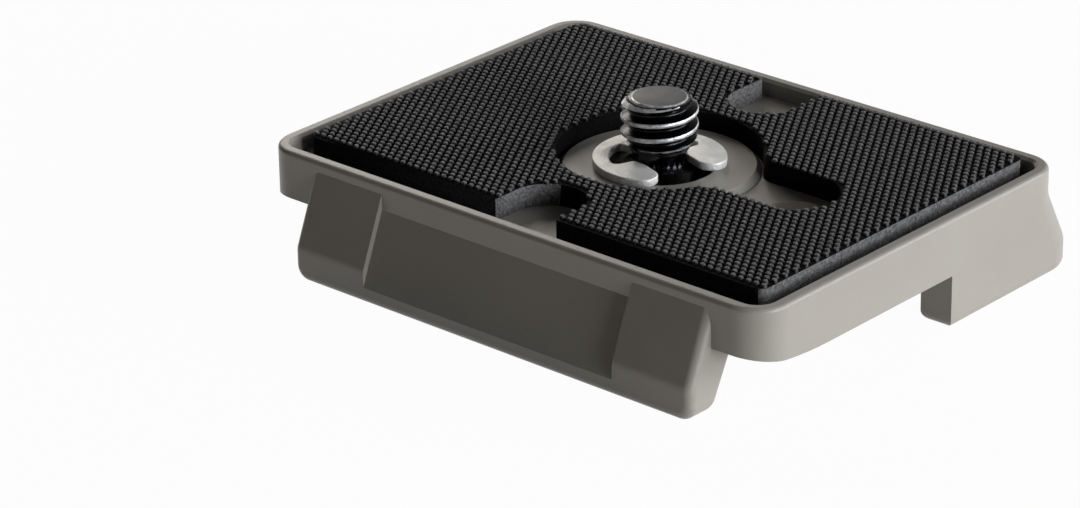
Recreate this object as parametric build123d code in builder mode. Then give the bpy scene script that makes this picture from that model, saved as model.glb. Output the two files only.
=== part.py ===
from build123d import *
import os
from math import hypot

# Tripod quick release plate: a die-cast plate with dovetail rails under it, a rubber grip pad
# with a keyhole opening, and a captive camera screw held by a spring clip and turned by a
# folding wire ring. Millimetres; X along the long side, Y across the rails, Z up.
# The origin is on the screw axis, level with the feet of the rails.

# Plate
plate_length = 52.5
slab_width = 38.5
rail_flare = 2.45
plate_height = 9.7
slab_depth = 4.1
near_corner_radius = 3.0
far_corner_radius = 2.9
rim_outer_radius = 0.4

# Recess for the pad, with its rim and the round boss about the screw
rim_width = 1.2
rim_inner_chamfer = 0.25
recess_depth = 1.5
recess_corner_radius = 1.5
boss_radius = 8.3
boss_height = 0.58
boss_chamfer = 0.4

# Hole for an anti-twist pin, in line with the keyhole's tail
pin_hole_radius = 2.5
pin_offset = 14.0

# Dovetail rails; flare depths are measured down from the rim
near_flare_depth = 0.9
far_flare_depth = 2.3
band_height = 2.8
flare_softness = 1.5
near_rail_plain_inset = 5.6
near_rail_tail_inset = 4.95
block_length = 7.8
block_step = 0.55
rail_inner_reach = 3.3
rail_foot_width = 2.9
rail_heel_radius = 1.3
rail_edge_radius = 0.75

# End walls: a shallow skirt that turns into a full-height return wall on the far side
end_wall_thickness = 3.0
skirt_drop = 0.85
skirt_ramp = 8.0
return_start = 4.5
return_foot_radius = 1.0

# Grip pad
pad_gap_near = 1.75
pad_gap_far = 0.85
pad_gap_short = 1.2
pad_thickness = 2.15
pad_corner_radius = 0.8
keyhole_gap = 0.2
tail_half_width = 3.65
tail_corner_radius = 1.8
notch_radius = 3.2
notch_web = 2.05
grip_pitch = 2.03
grip_groove_width = 0.8
grip_groove_depth = 0.28

# Camera screw
stud_radius = 3.175
stud_reach = 4.3
stud_chamfer = 1.05
thread_length = 3.95
neck_radius = 2.25
groove_radius = 2.15
shoulder_radius = 4.64
shoulder_clearance = 0.06
shoulder_below_boss = 1.2
head_radius = 8.5
head_thickness = 2.6
head_chamfer = 0.4
screw_lift = 1.15
seat_clearance = 0.05
coin_slot_width = 1.6
coin_slot_depth = 1.0

# Spring clip in the screw's groove; angles are measured from its mouth
clip_radius = 5.5
clip_thickness = 0.7
clip_clearance = 0.05
clip_window_radius = 4.15
clip_window_start = 94.0
clip_window_end = 160.0
clip_window_corner = 0.5
clip_mouth_width = 4.0
clip_mouth_turn = -18.0
clip_lobe_radius = 1.3
clip_prong_radius = 0.4

# Folding wire ring on the screw head
wire_radius = 0.8
ring_clearance = 0.05
ring_gap = 0.5
ring_bend_radius = 1.2
ring_side_run = 0.6
ring_leg_depth = 1.9
ring_hole_depth = 2.2

# Levels and half sizes that follow from the sizes above
half_length = plate_length / 2
slab_half = slab_width / 2
rail_half = slab_half + rail_flare
underside = plate_height - slab_depth
skirt_bottom = underside - skirt_drop
recess_floor = plate_height - recess_depth
boss_top = recess_floor + boss_height
pad_top = recess_floor + pad_thickness
near_rail_start = near_rail_plain_inset - half_length
near_rail_length = plate_length - near_rail_plain_inset - near_rail_tail_inset
near_flare_top = plate_height - near_flare_depth
far_flare_top = plate_height - far_flare_depth
flare_height = near_flare_top - band_height
step_drop = block_step * flare_height / rail_flare
screw_hole_radius = shoulder_radius + shoulder_clearance
pad_length = plate_length - 2 * (rim_width + pad_gap_short)
pad_width = slab_width - 2 * rim_width - pad_gap_near - pad_gap_far
pad_shift = (pad_gap_near - pad_gap_far) / 2
keyhole_radius = boss_radius + keyhole_gap
notch_centre = keyhole_radius + notch_web + notch_radius
stud_top = pad_top + stud_reach
thread_start = stud_top - thread_length
head_top = underside - seat_clearance - screw_lift
head_bottom = head_top - head_thickness
shoulder_top = boss_top - shoulder_below_boss
groove_bottom = boss_top - clip_clearance
groove_top = boss_top + clip_thickness + clip_clearance
clip_bore_radius = groove_radius + clip_clearance
ring_level = (head_bottom + head_top) / 2
ring_half = head_radius + ring_gap + wire_radius
ring_corner_radius = ring_half - ring_bend_radius - ring_side_run
fine = 0.01

os.makedirs("parts", exist_ok=True)

# Near rail: one flared section along its length, its root let into the slab
with BuildPart() as near_rail:
    with BuildSketch(Plane.YZ.offset(near_rail_start)):
        with BuildLine():
            flank = FilletPolyline(
                (-slab_half, near_flare_top),
                (-rail_half, band_height),
                (-rail_half, 0),
                radius=flare_softness,
            )
            Polyline(
                flank @ 1,
                (-rail_half + rail_foot_width, 0),
                (-slab_half + rail_inner_reach, underside),
                (-slab_half + rim_width / 2, underside),
                (-slab_half + rim_width / 2, near_flare_top),
                flank @ 0,
            )
        make_face()
    extrude(amount=near_rail_length)

    # Its heels are rounded, then the edges round its foot and ends
    foot_face = near_rail.faces().sort_by(Axis.Z)[0]
    fillet(foot_face.edges().filter_by(Axis.Y), rail_heel_radius)
    foot_face = near_rail.faces().sort_by(Axis.Z)[0]
    end_edges = near_rail.edges().filter_by(Axis.X, reverse=True).filter_by(Axis.Y, reverse=True)
    root_edges = end_edges.filter_by_position(Axis.Y, -slab_half + fine, -slab_half + rim_width)
    fillet(end_edges - root_edges + foot_face.edges().filter_by(Axis.X), rail_edge_radius)

    # The centre stretch is cut back along the flare
    with BuildSketch(Plane.YZ.offset(near_rail_start + block_length)):
        with BuildLine():
            Polyline(
                (-slab_half, near_flare_top),
                (-slab_half, near_flare_top - step_drop),
                (-slab_half - 2 * rail_flare, near_flare_top - step_drop - 2 * flare_height),
                (-slab_half - 2 * rail_flare, near_flare_top),
                close=True,
            )
        make_face()
    extrude(amount=near_rail_length - 2 * block_length, mode=Mode.SUBTRACT)

# Plate body: the slab and the far rail share one section, run along the plate
with BuildPart() as plate_body:
    with BuildSketch(Plane.YZ.offset(-half_length)):
        with BuildLine():
            flank = FilletPolyline(
                (slab_half, plate_height),
                (slab_half, far_flare_top),
                (rail_half, band_height),
                (rail_half, 0),
                radius=flare_softness,
            )
            Polyline(
                flank @ 1,
                (rail_half - rail_foot_width, 0),
                (slab_half - rail_inner_reach, underside),
                (-slab_half, underside),
                (-slab_half, plate_height),
                flank @ 0,
            )
        make_face()
    extrude(amount=plate_length)

    # End walls
    for wall_start in (-half_length, half_length - end_wall_thickness):
        with BuildSketch(Plane.YZ.offset(wall_start)):
            with BuildLine():
                ramp = Spline(
                    (-slab_half, underside),
                    (-slab_half + skirt_ramp, skirt_bottom),
                    tangents=((1, -2 * skirt_drop / skirt_ramp), (1, 0)),
                )
                Polyline(
                    ramp @ 1,
                    (return_start, skirt_bottom),
                    (return_start, 0),
                    (rail_half - rail_foot_width, 0),
                    (slab_half - rail_inner_reach, underside),
                    ramp @ 0,
                )
            make_face()
        extrude(amount=end_wall_thickness)

    # Upright corners of the plate: along the flared flank on the far side, plain on the near side
    end_faces = plate_body.faces().filter_by(Axis.X).group_by(Axis.X)
    flank_edges = (end_faces[0].edges() + end_faces[-1].edges()).filter_by_position(
        Axis.Y, slab_half - fine, rail_half + fine
    )
    fillet(flank_edges.filter_by_position(Axis.Z, fine, plate_height), far_corner_radius)
    with BuildSketch(Plane.XY):
        with Locations((0, rail_flare / 2)):
            Rectangle(plate_length, rail_half + slab_half)
        fillet(vertices().group_by(Axis.Y)[0], near_corner_radius)
    extrude(amount=plate_height, mode=Mode.INTERSECT)

    # Feet of the far rail and of its return walls
    foot_face = plate_body.faces().filter_by(Axis.Z).sort_by(Axis.Z)[0]
    fillet(foot_face.edges(), return_foot_radius)

    # Recess, with the boss about the screw, and the rim, rounded outside and chamfered inside
    with BuildSketch(Plane.XY.offset(recess_floor)):
        RectangleRounded(plate_length - 2 * rim_width, slab_width - 2 * rim_width, recess_corner_radius)
    extrude(amount=recess_depth, mode=Mode.SUBTRACT)
    rim_face = plate_body.faces().filter_by(Axis.Z).sort_by(Axis.Z)[-1]
    fillet(rim_face.outer_wire().edges(), rim_outer_radius)
    rim_face = plate_body.faces().filter_by(Axis.Z).sort_by(Axis.Z)[-1]
    chamfer(rim_face.inner_wires()[0].edges(), rim_inner_chamfer)
    with BuildSketch(Plane.XY.offset(recess_floor)):
        Circle(boss_radius)
    extrude(amount=boss_height)
    boss_edges = plate_body.edges().filter_by(GeomType.CIRCLE).filter_by_position(
        Axis.Z, boss_top - fine, boss_top + fine
    )
    chamfer(boss_edges, boss_chamfer)

    # Holes for the screw and the pin
    with BuildSketch(Plane.XY.offset(underside)):
        Circle(screw_hole_radius)
        with Locations((pin_offset, 0)):
            Circle(pin_hole_radius)
    extrude(amount=slab_depth, mode=Mode.SUBTRACT)
    add(near_rail.part)

plate_body.part.label = "plate_body"
export_step(plate_body.part, "parts/plate_body.step")

# Grip pad: a rubber sheet with a keyhole round the screw and a notch in each long side
with BuildPart() as grip_pad:
    with BuildSketch(Plane.XY.offset(recess_floor)) as pad_outline:
        with Locations((0, pad_shift)):
            RectangleRounded(pad_length, pad_width, pad_corner_radius)
        Circle(keyhole_radius, mode=Mode.SUBTRACT)
        Rectangle(pin_offset, 2 * tail_half_width, align=(Align.MIN, Align.CENTER), mode=Mode.SUBTRACT)
        tail_corners = vertices().filter_by_position(Axis.X, 0, pin_offset - fine)
        tail_corners = tail_corners.filter_by_position(Axis.Y, -keyhole_radius, keyhole_radius)
        fillet(tail_corners, tail_corner_radius)
        with Locations((pin_offset, 0)):
            Circle(tail_half_width, mode=Mode.SUBTRACT)
        with Locations((0, notch_centre), (0, -notch_centre)):
            Circle(notch_radius, mode=Mode.SUBTRACT)
        with Locations((0, notch_centre + pad_width / 2), (0, -notch_centre - pad_width / 2)):
            Rectangle(2 * notch_radius, pad_width, mode=Mode.SUBTRACT)
    extrude(amount=pad_thickness)

    # Its face is grooved between the rows of grip dots
    with BuildSketch(Plane.YZ.offset(-pad_length / 2)):
        with Locations((0, pad_top)):
            with GridLocations(grip_pitch, 0, int(pad_width / grip_pitch), 1):
                Polygon(
                    (-grip_groove_width / 2, 0),
                    (0, -grip_groove_depth),
                    (grip_groove_width / 2, 0),
                    align=None,
                )
    extrude(amount=pad_length, mode=Mode.SUBTRACT)

grip_pad.part.label = "grip_pad"
export_step(grip_pad.part, "parts/grip_pad.step")

# Camera screw: head, shoulder, clip groove, neck and stud turned as one piece
with BuildPart() as camera_screw:
    with BuildSketch(Plane.XZ):
        with BuildLine():
            Polyline(
                (0, head_bottom),
                (head_radius - head_chamfer, head_bottom),
                (head_radius, head_bottom + head_chamfer),
                (head_radius, head_top - head_chamfer),
                (head_radius - head_chamfer, head_top),
                (shoulder_radius, head_top),
                (shoulder_radius, shoulder_top),
                (stud_radius, shoulder_top),
                (stud_radius, groove_bottom),
                (groove_radius, groove_bottom),
                (groove_radius, groove_top),
                (neck_radius, groove_top),
                (neck_radius, thread_start),
                (stud_radius, thread_start),
                (stud_radius, stud_top - stud_chamfer),
                (stud_radius - stud_chamfer, stud_top),
                (0, stud_top),
                close=True,
            )
        make_face()
    revolve(axis=Axis.Z)
    with BuildSketch(Plane.XY.offset(head_bottom)):
        Rectangle(coin_slot_width, 2 * head_radius)
    extrude(amount=coin_slot_depth, mode=Mode.SUBTRACT)
    for hole_start in (-head_radius, head_radius - ring_hole_depth):
        with BuildSketch(Plane.YZ.offset(hole_start)):
            with Locations((0, ring_level)):
                Circle(wire_radius + ring_clearance)
        extrude(amount=ring_hole_depth, mode=Mode.SUBTRACT)

camera_screw.part.label = "camera_screw"
export_step(camera_screw.part, "parts/camera_screw.step")

# Spring clip: a flat E-shaped ring with two windows and a mouth between its lobes
with BuildPart() as retaining_clip:
    with BuildSketch(Plane.XY.offset(boss_top).rotated((0, 0, clip_mouth_turn))):
        Circle(clip_radius)
        Circle(clip_bore_radius, mode=Mode.SUBTRACT)
        window_sweep = clip_window_end - clip_window_start
        for side in (1, -1):
            with BuildLine():
                window_arc = CenterArc(
                    (0, 0), clip_window_radius, side * clip_window_start, side * window_sweep
                )
                Polyline(window_arc @ 1, (0, 0), window_arc @ 0)
            make_face(mode=Mode.SUBTRACT)
        window_corners = vertices().filter_by(
            lambda corner: abs(hypot(corner.X, corner.Y) - clip_window_radius) < fine
        )
        fillet(window_corners, clip_window_corner)
        prong_corners = vertices().filter_by(
            lambda corner: hypot(corner.X, corner.Y) < clip_bore_radius + fine and abs(corner.Y) > fine
        )
        fillet(prong_corners, clip_prong_radius)
        Rectangle(clip_radius, clip_mouth_width, align=(Align.MIN, Align.CENTER), mode=Mode.SUBTRACT)
        fillet(vertices().sort_by_distance((0, 0))[-2:], clip_lobe_radius)
    extrude(amount=clip_thickness)

retaining_clip.part.label = "retaining_clip"
export_step(retaining_clip.part, "parts/retaining_clip.step")

# Folding ring: a wire bent to a D, its two ends turned into the screw head
with BuildPart() as d_ring:
    with BuildLine(Plane.XY.offset(ring_level)) as ring_path:
        FilletPolyline(
            (head_radius - ring_leg_depth, 0),
            (ring_half, 0),
            (ring_half, ring_half),
            (-ring_half, ring_half),
            (-ring_half, 0),
            (-head_radius + ring_leg_depth, 0),
            radius=(ring_bend_radius, ring_corner_radius, ring_corner_radius, ring_bend_radius),
        )
    with BuildSketch(Plane(ring_path.wires()[0] @ 0, z_dir=ring_path.wires()[0] % 0)):
        Circle(wire_radius)
    sweep(path=ring_path.wires()[0])

d_ring.part.label = "d_ring"
export_step(d_ring.part, "parts/d_ring.step")
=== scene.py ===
# %% [markdown]
# # A tripod quick release plate
# The plate screws under a camera and drops into the clamp of a tripod head. The solids come from
# the CAD model, which is loaded first and never moved. This script dresses them: it gives the
# casting its satin paint, and models anew the pieces whose fine form carries the look, which are
# the dotted rubber pad, the threaded screw and the spring clip. Everything is in metres, in the
# frame of the solids.

# %% Load the solids
import math
import bmesh
import bpy
from mathutils import Matrix, Vector
from mathutils.bvhtree import BVHTree


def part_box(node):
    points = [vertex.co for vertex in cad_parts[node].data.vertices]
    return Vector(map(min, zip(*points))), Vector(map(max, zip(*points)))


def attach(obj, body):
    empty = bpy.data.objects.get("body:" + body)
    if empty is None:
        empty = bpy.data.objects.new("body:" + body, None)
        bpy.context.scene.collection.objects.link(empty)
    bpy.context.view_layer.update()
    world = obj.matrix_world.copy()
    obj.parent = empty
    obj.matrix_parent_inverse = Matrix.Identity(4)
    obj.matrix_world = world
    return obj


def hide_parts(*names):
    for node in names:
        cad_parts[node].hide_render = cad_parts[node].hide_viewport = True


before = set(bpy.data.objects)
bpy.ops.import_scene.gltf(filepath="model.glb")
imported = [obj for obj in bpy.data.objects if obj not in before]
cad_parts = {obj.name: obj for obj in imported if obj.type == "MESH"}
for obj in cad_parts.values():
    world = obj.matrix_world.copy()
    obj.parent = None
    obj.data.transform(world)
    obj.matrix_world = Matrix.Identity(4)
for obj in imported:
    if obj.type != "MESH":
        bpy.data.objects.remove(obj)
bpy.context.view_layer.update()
scene = bpy.context.scene
MM = 0.001

# %% [markdown]
# ## Camera
# The photograph is a close view with a long lens, from the front right and above. The horizon
# isn't in it, so the camera is set by its place, by the point on the plate that falls in the
# middle of the picture, and by a small roll. A long lens keeps the two long edges of the plate
# nearly parallel.

# %% Camera
camera_place = Vector((200.73, -237.41, 139.53)) * MM
picture_middle = Vector((5.99, -21.33, 9.7)) * MM
camera_roll = math.radians(-0.853)
camera_data = bpy.data.cameras.new("photo_camera")
camera_data.lens = 138.27
camera_data.sensor_width = 36.0
camera_data.clip_start = 0.01
camera_data.clip_end = 50.0
camera = bpy.data.objects.new("photo_camera", camera_data)
scene.collection.objects.link(camera)
look = (picture_middle - camera_place).to_track_quat("-Z", "Y").to_matrix()
rolled = (look @ Matrix.Rotation(camera_roll, 3, "Z")).to_4x4()
camera.matrix_world = Matrix.Translation(camera_place) @ rolled
scene.camera = camera
print("camera to plate:", round((picture_middle - camera_place).length, 3), "m")

# %% [markdown]
# ## Floor and background
# The plate stands on a white studio sweep. The floor is a real, pale surface that catches the
# plate's shadow and throws light back under it. Rays that come straight from the camera or from a
# reflection see most of it as plain white, so the background stays clean without more light on
# the plate. The air of the studio is faint, paler towards the back and dimmer overhead.

# %% Helpers for node trees
def plain_material(name):
    """A new material with an empty node tree, and the tree."""
    material = bpy.data.materials.new(name)
    material.use_nodes = True
    material.node_tree.nodes.clear()
    return material, material.node_tree


def mapped(tree, value, from_range, to_range, kind="LINEAR"):
    """A number carried from one range to another."""
    node = tree.nodes.new("ShaderNodeMapRange")
    node.interpolation_type = kind
    names = ("From Min", "From Max", "To Min", "To Max")
    for name, number in zip(names, (*from_range, *to_range)):
        node.inputs[name].default_value = number
    tree.links.new(value, node.inputs["Value"])
    return node.outputs["Result"]


def combined(tree, operation, first, second):
    """Two numbers put together by a Math node."""
    node = tree.nodes.new("ShaderNodeMath")
    node.operation = operation
    tree.links.new(first, node.inputs[0])
    tree.links.new(second, node.inputs[1])
    return node.outputs[0]


def seen_directly(tree):
    """One for rays from the camera, from a reflection or through glass, and nought elsewhere."""
    path = tree.nodes.new("ShaderNodeLightPath").outputs
    camera_or_glossy = combined(tree, "MAXIMUM", path["Is Camera Ray"], path["Is Glossy Ray"])
    return combined(tree, "MAXIMUM", camera_or_glossy, path["Is Transmission Ray"])


# %% Floor
floor_reach = 6.0
white_share = 0.97
floor_mesh = bmesh.new()
bmesh.ops.create_grid(floor_mesh, x_segments=1, y_segments=1, size=floor_reach)
floor_data = bpy.data.meshes.new("studio_floor")
floor_mesh.to_mesh(floor_data)
floor_mesh.free()
floor = bpy.data.objects.new("studio_floor", floor_data)
scene.collection.objects.link(floor)

floor_paper, tree = plain_material("floor_paper")
paper = tree.nodes.new("ShaderNodeBsdfDiffuse")
paper.inputs["Color"].default_value = (0.73, 0.69, 0.62, 1)
white = tree.nodes.new("ShaderNodeEmission")
white.inputs["Strength"].default_value = 1.0
mix = tree.nodes.new("ShaderNodeMixShader")
surface = tree.nodes.new("ShaderNodeOutputMaterial")
tree.links.new(mapped(tree, seen_directly(tree), (0, 1), (0, white_share)), mix.inputs["Fac"])
tree.links.new(paper.outputs[0], mix.inputs[1])
tree.links.new(white.outputs[0], mix.inputs[2])
tree.links.new(mix.outputs[0], surface.inputs["Surface"])
floor_data.materials.append(floor_paper)
print("floor:", floor_data.name)

# %% Studio air
studio_air = bpy.data.worlds.new("studio_air")
scene.world = studio_air
studio_air.use_nodes = True
tree = studio_air.node_tree
direction = tree.nodes.new("ShaderNodeTexCoord")
axes = tree.nodes.new("ShaderNodeSeparateXYZ")
tree.links.new(direction.outputs["Generated"], axes.inputs["Vector"])
to_the_back = mapped(tree, axes.outputs["Y"], (-0.35, 0.75), (0.02, 0.2), "SMOOTHSTEP")
overhead = mapped(tree, axes.outputs["Z"], (0.4, 0.8), (1.0, 0.2), "SMOOTHSTEP")
air = tree.nodes["Background"]
air.inputs["Color"].default_value = (1, 1, 1, 1)
tree.links.new(combined(tree, "MULTIPLY", to_the_back, overhead), air.inputs["Strength"])
scene.view_settings.view_transform = "Standard"
print("world:", studio_air.name)

# %% [markdown]
# ## Light
# In the photograph the end of the plate that faces right is the brightest side, the long near
# side is much darker, and the flared slopes of the near rail are darkest of all. So three soft
# boxes stand at the right: a low one, a higher one further round, and one at the back right that
# draws the bright line along the right edge. A warmer one at the back left lights the flat tops
# and the keyhole's floor. From the front comes only a faint narrow strip, high up, for the glints
# on the thread, so the near side mostly gets what the floor throws back.

# %% Soft boxes
def soft_box(name, place, target, width, height, power, colour):
    """An area light of that size in metres, aimed at a point of the plate."""
    data = bpy.data.lights.new(name, "AREA")
    data.shape = "RECTANGLE"
    data.size = width
    data.size_y = height
    data.energy = power
    data.color = colour
    box = bpy.data.objects.new(name, data)
    scene.collection.objects.link(box)
    turn = (Vector(target) - Vector(place)).to_track_quat("-Z", "Y").to_matrix().to_4x4()
    box.matrix_world = Matrix.Translation(Vector(place)) @ turn


plate_middle = (0, 0, 0.006)
daylight = (0.935, 0.965, 1.0)
warm_light = (1.0, 0.95, 0.87)
plain_light = (1, 1, 1)
for name, place, width, height, power, colour in (
    ("low_key_box", (0.66, -0.045, 0.115), 0.3, 0.2, 3.0, daylight),
    ("high_key_box", (0.60, 0.22, 0.24), 0.3, 0.3, 1.7, daylight),
    ("back_key_box", (0.46, 0.46, 0.22), 0.2, 0.3, 1.7, daylight),
    ("rim_box", (-0.58, 0.35, 0.31), 0.4, 0.3, 1.6, warm_light),
    ("glint_strip", (-0.15, -0.40, 0.60), 0.3, 0.08, 0.09, plain_light),
):
    soft_box(name, place, plate_middle, width, height, power, colour)
    print("soft box:", name, power, "W")

# %% [markdown]
# ## Cast paint
# The casting is sprayed with a warm grey satin paint. Close up it has the fine orange-peel grain
# of sprayed paint over sand-blasted metal, and small drifts of tone. An image could carry that,
# but noise needs no seams and stays sharp. The rubber uses the same grain, so it is a node group
# with its own size and share of fine detail.

# %% Helpers for groups
def new_group(name, inputs, outputs):
    """A shader group with number sockets, and the nodes at its two ends."""
    group = bpy.data.node_groups.new(name, "ShaderNodeTree")
    number = "NodeSocketFloat"
    for socket_name, default in inputs:
        socket = group.interface.new_socket(socket_name, in_out="INPUT", socket_type=number)
        socket.default_value = default
    for socket_name in outputs:
        group.interface.new_socket(socket_name, in_out="OUTPUT", socket_type=number)
    return group, group.nodes.new("NodeGroupInput"), group.nodes.new("NodeGroupOutput")


def noise_on_object(group, detail):
    """A noise on Object coordinates."""
    place = group.nodes.new("ShaderNodeTexCoord")
    noise = group.nodes.new("ShaderNodeTexNoise")
    noise.inputs["Detail"].default_value = detail
    group.links.new(place.outputs["Object"], noise.inputs["Vector"])
    return noise


def set_noise_size(group, noise, size):
    """Gives a noise marks of a size in metres, which comes from a socket."""
    per_metre = group.nodes.new("ShaderNodeMath")
    per_metre.operation = "DIVIDE"
    per_metre.inputs[0].default_value = 1.0
    group.links.new(size, per_metre.inputs[1])
    group.links.new(per_metre.outputs[0], noise.inputs["Scale"])


# %% Grain group
grain, grain_in, grain_out = new_group(
    "fine_grain", (("Size", 0.0003), ("Fine Share", 0.5)), ("Height", "Drift"))
peel = noise_on_object(grain, detail=3.0)
set_noise_size(grain, peel, grain_in.outputs["Size"])
grain.links.new(grain_in.outputs["Fine Share"], peel.inputs["Roughness"])
drift = noise_on_object(grain, detail=4.0)
drift.inputs["Scale"].default_value = 120.0
grain.links.new(peel.outputs["Fac"], grain_out.inputs["Height"])
grain.links.new(drift.outputs["Fac"], grain_out.inputs["Drift"])
print("group:", grain.name)


# %% Helpers for finishes
def ramp(tree, value, low, high, dark, light):
    """A colour that goes from dark to light as value goes from low to high."""
    node = tree.nodes.new("ShaderNodeValToRGB")
    node.color_ramp.elements[0].position = low
    node.color_ramp.elements[1].position = high
    node.color_ramp.elements[0].color = (*dark, 1)
    node.color_ramp.elements[1].color = (*light, 1)
    tree.links.new(value, node.inputs["Fac"])
    return node.outputs["Color"]


def principled(tree):
    """A Principled surface joined to the material's output."""
    shader = tree.nodes.new("ShaderNodeBsdfPrincipled")
    output = tree.nodes.new("ShaderNodeOutputMaterial")
    tree.links.new(shader.outputs["BSDF"], output.inputs["Surface"])
    return shader


def place_group(tree, group, **values):
    """The outputs of a node that uses a group, with its inputs set."""
    node = tree.nodes.new("ShaderNodeGroup")
    node.node_tree = group
    for name, value in values.items():
        node.inputs[name.replace("_", " ")].default_value = value
    return node.outputs


def roughen(tree, shader, value, low, high):
    """Roughness between low and high as value goes from nought to one."""
    tree.links.new(mapped(tree, value, (0, 1), (low, high)), shader.inputs["Roughness"])


def bump(tree, shader, height, depth, strength):
    """Height in the material, as a relief of that depth in metres."""
    node = tree.nodes.new("ShaderNodeBump")
    node.inputs["Distance"].default_value = depth
    node.inputs["Strength"].default_value = strength
    tree.links.new(height, node.inputs["Height"])
    tree.links.new(node.outputs["Normal"], shader.inputs["Normal"])


# %% Cast paint
cast_paint, tree = plain_material("cast_paint")
shader = principled(tree)
shader.inputs["Specular IOR Level"].default_value = 0.45
skin = place_group(tree, grain, Size=0.00022, Fine_Share=0.6)
paint = ramp(tree, skin["Drift"], 0.3, 0.7, (0.308, 0.286, 0.255), (0.332, 0.310, 0.276))
tree.links.new(paint, shader.inputs["Base Color"])
roughen(tree, shader, skin["Drift"], 0.34, 0.42)
bump(tree, shader, skin["Height"], 0.00003, 0.5)
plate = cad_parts["plate_body"]
plate.data.materials.clear()
plate.data.materials.append(cast_paint)
print("painted:", plate.name, len(plate.data.polygons), "faces")

# %% [markdown]
# ## Making a piece
# The next pieces replace a CAD node. Each is worked as a bmesh in metres, in its real place. What
# is kept of a solid has its loose triangles joined up first, and new shapes have their faces
# turned outwards. Then the piece becomes an object that rides on the node's body and stands for
# the node. Edges sharper than a set angle stay crisp and the rest are shaded smooth.

# %% Helpers for pieces
touching = 1e-6


def copy_of_node(node):
    """A bmesh with a CAD node's own surface, its loose triangles joined up."""
    mesh = bmesh.new()
    mesh.from_mesh(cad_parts[node].data)
    bmesh.ops.remove_doubles(mesh, verts=mesh.verts, dist=touching)
    return mesh


def cut_level(mesh, level, way):
    """Cuts a bmesh at a level and drops what is above it (way 1) or below it (way -1)."""
    everything = mesh.verts[:] + mesh.edges[:] + mesh.faces[:]
    return bmesh.ops.bisect_plane(mesh, geom=everything, plane_co=(0, 0, level),
                                  plane_no=(0, 0, way), clear_outer=True)


def finish_piece(mesh, name, node, body, materials, crisp=35):
    """Turns a bmesh into an object that stands for a CAD node."""
    data = bpy.data.meshes.new(name)
    mesh.to_mesh(data)
    mesh.free()
    for material in materials:
        data.materials.append(material)
    data.polygons.foreach_set("use_smooth", [True] * len(data.polygons))
    data.set_sharp_from_angle(angle=math.radians(crisp))
    piece = bpy.data.objects.new(name, data)
    scene.collection.objects.link(piece)
    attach(piece, body)
    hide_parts(node)
    print(name, "stands for", node, "with", len(data.polygons), "faces")


# %% [markdown]
# ## Grip pad
# The pad is die-cut from a rubber sheet that is moulded with small round dots in a honeycomb, so
# that it grips a camera. A bump map could draw the dots, but light from the side has to run
# through them and the pad's edge has to look toothed, so every dot is real. One dot is made as a
# bevelled cone and set down again and again, wherever it lands on the sheet. The dots' sides and
# the valleys are painted near black as painted shade, and the crowns are painted paler as a
# painted highlight. The cut walls are dull and grained; those that face the light are painted
# paler as painted light, and the other walls are painted near black as painted shade.

# %% Dot rubber
dot_height = 0.27 * MM
pad_low, pad_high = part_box("grip_pad")
sheet_top = pad_high.z - dot_height
# Below this level the dots' sides are painted near black as painted shade.
painted_shade_top = sheet_top + 0.4 * dot_height

dot_rubber, tree = plain_material("dot_rubber")
shader = principled(tree)
shader.inputs["Specular IOR Level"].default_value = 0.25
skin = place_group(tree, grain, Size=0.00012, Fine_Share=0.6)
# The crowns are painted much paler than black rubber, as a painted highlight.
crown_colour = ramp(tree, skin["Height"], 0.4, 0.62, (0.03, 0.03, 0.031), (0.24, 0.24, 0.246))
place = tree.nodes.new("ShaderNodeTexCoord")
axes = tree.nodes.new("ShaderNodeSeparateXYZ")
tree.links.new(place.outputs["Object"], axes.inputs["Vector"])
rise = mapped(tree, axes.outputs["Z"], (painted_shade_top, pad_high.z), (0, 1))
# Painted shade: below the level the colour goes to near black, on the dots' sides and in the
# valleys.
painted_shade_by_height = tree.nodes.new("ShaderNodeMix")
painted_shade_by_height.data_type = "RGBA"
painted_shade_by_height.inputs["A"].default_value = (0.004, 0.004, 0.0045, 1)
tree.links.new(rise, painted_shade_by_height.inputs["Factor"])
tree.links.new(crown_colour, painted_shade_by_height.inputs["B"])
tree.links.new(painted_shade_by_height.outputs["Result"], shader.inputs["Base Color"])
roughen(tree, shader, skin["Height"], 0.3, 0.55)
bump(tree, shader, skin["Height"], 0.00003, 0.5)
print("finish:", dot_rubber.name)


# %% Painted shade rubber and painted lit rubber
def plain_rubber(name, gloss, size, fine_share, dark, light, rough, depth, strength):
    """Rubber with a grained colour, which has no dots."""
    material, tree = plain_material(name)
    shader = principled(tree)
    shader.inputs["Specular IOR Level"].default_value = gloss
    skin = place_group(tree, grain, Size=size, Fine_Share=fine_share)
    grained_tone = ramp(tree, skin["Height"], 0.35, 0.65, dark, light)
    tree.links.new(grained_tone, shader.inputs["Base Color"])
    roughen(tree, shader, skin["Drift"], *rough)
    bump(tree, shader, skin["Height"], depth, strength)
    print("finish:", name)
    return material


# The near-black rubber is painted shade, for the valleys between the dots and the walls away from
# the light. The paler rubber is painted light, for the cut walls that face the light.
painted_shade_rubber = plain_rubber(
    "painted_shade_rubber", gloss=0.03, size=0.0002, fine_share=0.6, dark=(0.003, 0.003, 0.003),
    light=(0.008, 0.008, 0.009), rough=(0.6, 0.8), depth=0.00004, strength=0.6)
painted_lit_rubber = plain_rubber(
    "painted_lit_rubber", gloss=0.05, size=0.00025, fine_share=0.75, dark=(0.056, 0.055, 0.056),
    light=(0.18, 0.176, 0.176), rough=(0.75, 0.95), depth=0.00012, strength=0.8)
pad_finishes = [dot_rubber, painted_shade_rubber, painted_lit_rubber]

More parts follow.
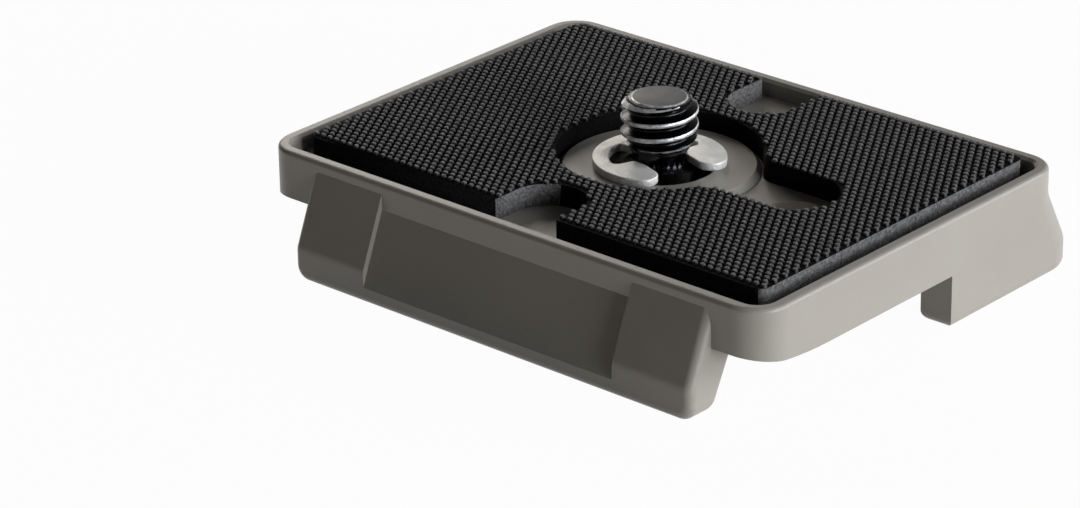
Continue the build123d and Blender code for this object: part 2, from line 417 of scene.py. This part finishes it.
# %% Pad sheet
below_grooves = pad_high.z - 0.35 * MM
keyhole_reach_x = 18 * MM
keyhole_reach_y = 9 * MM
pad = copy_of_node("grip_pad")
cut = cut_level(pad, below_grooves, 1)
cut_edges = [e for e in cut["geom_cut"] if isinstance(e, bmesh.types.BMEdge)]
bmesh.ops.triangle_fill(pad, edges=cut_edges, use_beauty=True)
for vert in {v for e in cut_edges for v in e.verts}:
    vert.co.z = sheet_top
bmesh.ops.recalc_face_normals(pad, faces=pad.faces)
for face in pad.faces:
    at = face.calc_center_median()
    in_keyhole = abs(at.x) < keyhole_reach_x and abs(at.y) < keyhole_reach_y
    # Walls that face the light get the paler rubber as painted light. The sheet, the other walls
    # and the keyhole's walls get the near-black rubber as painted shade.
    lit_wall = face.normal.x > 0.4 and abs(face.normal.z) < 0.5
    finish = painted_lit_rubber if lit_wall and not in_keyhole else painted_shade_rubber
    face.material_index = pad_finishes.index(finish)
print("sheet:", len(pad.faces), "faces, top at", round(sheet_top / MM, 2), "mm")

# %% One dot
dot_foot_radius = 0.28 * MM
dot_crown_radius = 0.19 * MM
crown_rounding = 0.09 * MM
dot = bmesh.new()
bmesh.ops.create_cone(dot, cap_ends=True, segments=8, radius1=dot_foot_radius,
                      radius2=dot_crown_radius, depth=dot_height)
bmesh.ops.translate(dot, verts=dot.verts, vec=(0, 0, sheet_top + dot_height / 2))
crown = [e for e in dot.edges if all(v.co.z > pad_high.z - touching for v in e.verts)]
bmesh.ops.bevel(dot, geom=crown, offset=crown_rounding, segments=2, affect="EDGES", profile=0.5,
                material=-1)
hidden = [f for f in dot.faces if f.normal.z < -0.9]
bmesh.ops.delete(dot, geom=hidden, context="FACES_ONLY")
dot_mesh = bpy.data.meshes.new("pad_dot")
dot.to_mesh(dot_mesh)
dot.free()
print("dot:", len(dot_mesh.polygons), "faces")

# %% Where the dots go
dot_pitch = 0.746 * MM
row_pitch = 0.628 * MM
dot_margin = 0.1 * MM
down = Vector((0, 0, -1))
sheet = BVHTree.FromBMesh(pad)
sixths = [math.tau * n / 6 for n in range(6)]
around = [(0, 0)] + [(math.cos(angle), math.sin(angle)) for angle in sixths]


def on_sheet(x, y):
    """True where there is rubber under a dot's middle and all round it, a margin out."""
    for east, north in around:
        above = Vector((x + east * dot_margin, y + north * dot_margin, pad_high.z))
        if sheet.ray_cast(above, down, 2 * dot_height)[0] is None:
            return False
    return True


rows = int(pad_high.y / row_pitch) + 1
columns = int(pad_high.x / dot_pitch) + 1
dot_places = []
for row in range(-rows, rows + 1):
    for column in range(-columns, columns + 1):
        x = (column + 0.5 * (row % 2)) * dot_pitch
        y = row * row_pitch
        if on_sheet(x, y):
            dot_places.append(Vector((x, y, 0)))
print("dots:", len(dot_places))

# %% Set the dots down
for place in dot_places:
    dot_mesh.transform(Matrix.Translation(place))
    pad.from_mesh(dot_mesh)
    dot_mesh.transform(Matrix.Translation(-place))
bpy.data.meshes.remove(dot_mesh)
for vert in pad.verts:
    vert.co.x = min(max(vert.co.x, pad_low.x), pad_high.x)
    vert.co.y = min(max(vert.co.y, pad_low.y), pad_high.y)
finish_piece(pad, "dotted_pad", "grip_pad", "plate", pad_finishes)

# %% [markdown]
# ## Metal finishes
# Three metals show: the dark plated screw, whose crests and tip are worn bare, the pale
# zinc-plated clip and the bright wire ring. They share one group that gives the streaks and pits
# of tumbled, plated steel, and each uses it with its own size and strength.

# %% Plating group
plating, plating_in, plating_out = new_group(
    "plated_steel", (("Pit Size", 0.0002), ("Streak Size", 0.002)), ("Pits", "Cloud"))
for size_name, output_name, detail in (("Pit Size", "Pits", 4.0), ("Streak Size", "Cloud", 3.0)):
    noise = noise_on_object(plating, detail)
    set_noise_size(plating, noise, plating_in.outputs[size_name])
    plating.links.new(noise.outputs["Fac"], plating_out.inputs[output_name])
print("group:", plating.name)


# %% Metals
def plated(name, dark, light, metal, rough, depth, pit_size, streak_size=0.0018):
    """A metal with cloudy tone, varied gloss and fine pits."""
    material, tree = plain_material(name)
    shader = principled(tree)
    shader.inputs["Metallic"].default_value = metal
    skin = place_group(tree, plating, Pit_Size=pit_size, Streak_Size=streak_size)
    tone = ramp(tree, skin["Cloud"], 0.35, 0.65, dark, light)
    tree.links.new(tone, shader.inputs["Base Color"])
    roughen(tree, shader, skin["Pits"], rough - 0.08, rough + 0.1)
    bump(tree, shader, skin["Pits"], depth, 0.5)
    print("finish:", name)
    return material


dark_steel = plated("dark_steel", (0.018, 0.018, 0.019), (0.034, 0.034, 0.036), metal=1.0,
                    rough=0.26, depth=0.00001, pit_size=0.00015)
tip_steel = plated("tip_steel", (0.13, 0.13, 0.13), (0.17, 0.17, 0.17), metal=0.3,
                   rough=0.55, depth=0.00003, pit_size=0.00012)
worn_steel = plated("worn_steel", (0.5, 0.5, 0.5), (1.0, 1.0, 1.0), metal=0.7,
                    rough=0.36, depth=0.00008, pit_size=0.00015, streak_size=0.0005)
zinc_plate = plated("zinc_plate", (0.76, 0.755, 0.73), (0.97, 0.96, 0.93), metal=0.3,
                    rough=0.45, depth=0.00014, pit_size=0.0002)
bright_wire = plated("bright_wire", (0.55, 0.55, 0.55), (0.66, 0.66, 0.66), metal=1.0,
                     rough=0.28, depth=0.00001, pit_size=0.0002)
screw_finishes = [dark_steel, worn_steel, tip_steel]

# %% [markdown]
# ## Camera screw
# The screw is the standard camera thread, right-handed, with a chamfered tip and a plain neck
# where the clip sits. The solid has a plain cylinder for the thread, so everything under it is
# kept from the solid and the thread is made new. One pitch of the thread's outline is spun about
# the axis with a step up at each turn, which gives a true helix. Then it is cut level at both
# ends and coned, and a turned tip closes it.

# %% Screw below the thread
thread_length = 4.35 * MM
overlap = 0.005 * MM
screw_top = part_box("camera_screw")[1].z
thread_start = screw_top - thread_length
screw = copy_of_node("camera_screw")
cut_level(screw, thread_start + overlap, 1)
print("screw kept below", round(thread_start / MM, 2), "mm:", len(screw.faces), "faces")

# %% Outline of the thread
pitch = 1.27 * MM
crest = 3.175 * MM
root = 2.488 * MM
worn = crest - 0.07 * MM
flank_foot = root + 0.12 * MM
crest_at_front = 12.128 * MM
# Radius, and height above the middle of the crest
half_outline = (
    (crest, 0.06 * MM),
    (crest - 0.02 * MM, 0.12 * MM),
    (worn, 0.18 * MM),
    (flank_foot, 0.455 * MM),
    (root + 0.05 * MM, 0.50 * MM),
    (root + 0.01 * MM, 0.56 * MM),
    (root, 0.635 * MM),
)
outline = [(radius, -up) for radius, up in reversed(half_outline)] + list(half_outline)
thread = bmesh.new()
first_crest = crest_at_front - 2 * pitch
points = [thread.verts.new((radius, 0, first_crest + up)) for radius, up in outline]
edges = [thread.edges.new(pair) for pair in zip(points, points[1:])]
flanks = [edges[3], edges[9]]
bmesh.ops.subdivide_edges(thread, edges=flanks, cuts=4)
print("outline:", len(thread.verts), "points")

# %% Thread
steps_per_turn = 64
turns = 6
tip_level = screw_top - 0.1 * MM
bmesh.ops.spin(thread, geom=thread.verts[:] + thread.edges[:], cent=(0, 0, 0), axis=(0, 0, 1),
               dvec=(0, 0, pitch / steps_per_turn), angle=math.tau * turns,
               steps=steps_per_turn * turns)
bmesh.ops.remove_doubles(thread, verts=thread.verts, dist=touching)
cut_level(thread, tip_level, 1)
cut_level(thread, thread_start, -1)
print("thread:", len(thread.faces), "faces,", round(thread_length / pitch, 1), "turns")

# %% Cone at both ends, wear on the crests
tip_radius = 2.28 * MM
cone_radius = tip_radius + 0.15 * MM
neck_radius = 2.25 * MM
runout_slope = 0.9
worn_limit = worn - 0.01 * MM
crest_faces = [f for f in thread.faces if f.calc_center_median().xy.length > worn_limit]
for vert in thread.verts:
    radius = math.hypot(vert.co.x, vert.co.y)
    cone = cone_radius + (screw_top - vert.co.z)
    runout = max(root, neck_radius + runout_slope * (vert.co.z - thread_start))
    keep = min(1.0, cone / radius, runout / radius)
    vert.co.x *= keep
    vert.co.y *= keep
for face in crest_faces:
    stands_out = face.calc_center_median().xy.length > flank_foot
    face.material_index = screw_finishes.index(worn_steel if stands_out else dark_steel)
rims = [e for e in thread.edges if e.is_boundary]
bmesh.ops.holes_fill(thread, edges=rims, sides=0)
bmesh.ops.recalc_face_normals(thread, faces=thread.faces)
print("coned from", round(tip_radius / MM, 2), "mm at the tip")

# %% Tip
# Radius, and depth below the screw's top
tip_outline = (
    (0.0, 0.0),
    (tip_radius - 0.07 * MM, 0.0),
    (tip_radius - 0.02 * MM, 0.02 * MM),
    (tip_radius + 0.05 * MM, 0.1 * MM),
    (tip_radius + 0.07 * MM, 0.16 * MM),
    (0.0, 0.16 * MM),
)
tip = bmesh.new()
points = [tip.verts.new((radius, 0, screw_top - depth)) for radius, depth in tip_outline]
for pair in zip(points, points[1:]):
    tip.edges.new(pair)
bmesh.ops.spin(tip, geom=tip.verts[:] + tip.edges[:], cent=(0, 0, 0), axis=(0, 0, 1),
               angle=math.tau, steps=steps_per_turn, use_merge=True)
bmesh.ops.remove_doubles(tip, verts=tip.verts, dist=touching)
bmesh.ops.recalc_face_normals(tip, faces=tip.faces)
for face in tip.faces:
    is_top = face.normal.z > 0.99
    face.material_index = screw_finishes.index(tip_steel if is_top else worn_steel)
print("tip:", len(tip.faces), "faces")

# %% Screw as one piece
for end in (thread, tip):
    end_mesh = bpy.data.meshes.new("screw_end")
    end.to_mesh(end_mesh)
    end.free()
    screw.from_mesh(end_mesh)
    bpy.data.meshes.remove(end_mesh)
finish_piece(screw, "threaded_screw", "camera_screw", "screw", screw_finishes,
             crisp=30)

# %% [markdown]
# ## Spring clip
# The clip is stamped from sheet and tumbled, so its edges are softly rounded. Its outline in the
# solid is right, so the piece starts from that: the flat faces are joined up into single faces,
# and then all the edges between a flat and the rim are bevelled.

# %% Spring clip
clip_rounding = 0.12 * MM
flat_angle = math.radians(1)
rim_angle = math.radians(60)
clip = copy_of_node("retaining_clip")
bmesh.ops.dissolve_limit(clip, angle_limit=flat_angle, verts=clip.verts, edges=clip.edges)
joined = [e for e in clip.edges if len(e.link_faces) == 2]
corners = [e for e in joined if e.calc_face_angle() > rim_angle]
rim_edges = [e for e in corners if abs(e.verts[0].co.z - e.verts[1].co.z) < touching]
bmesh.ops.bevel(clip, geom=rim_edges, offset=clip_rounding, segments=3, affect="EDGES",
                profile=0.5, material=-1)
finish_piece(clip, "stamped_clip", "retaining_clip", "clip", [zinc_plate], crisp=40)

# %% [markdown]
# ## Folding ring
# The ring is plain round wire, and the solid's sweep is already that, so the CAD node stays and
# only gets its finish.

# %% Folding ring
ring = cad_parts["d_ring"]
ring.data.materials.clear()
ring.data.materials.append(bright_wire)
print("finished:", ring.name)
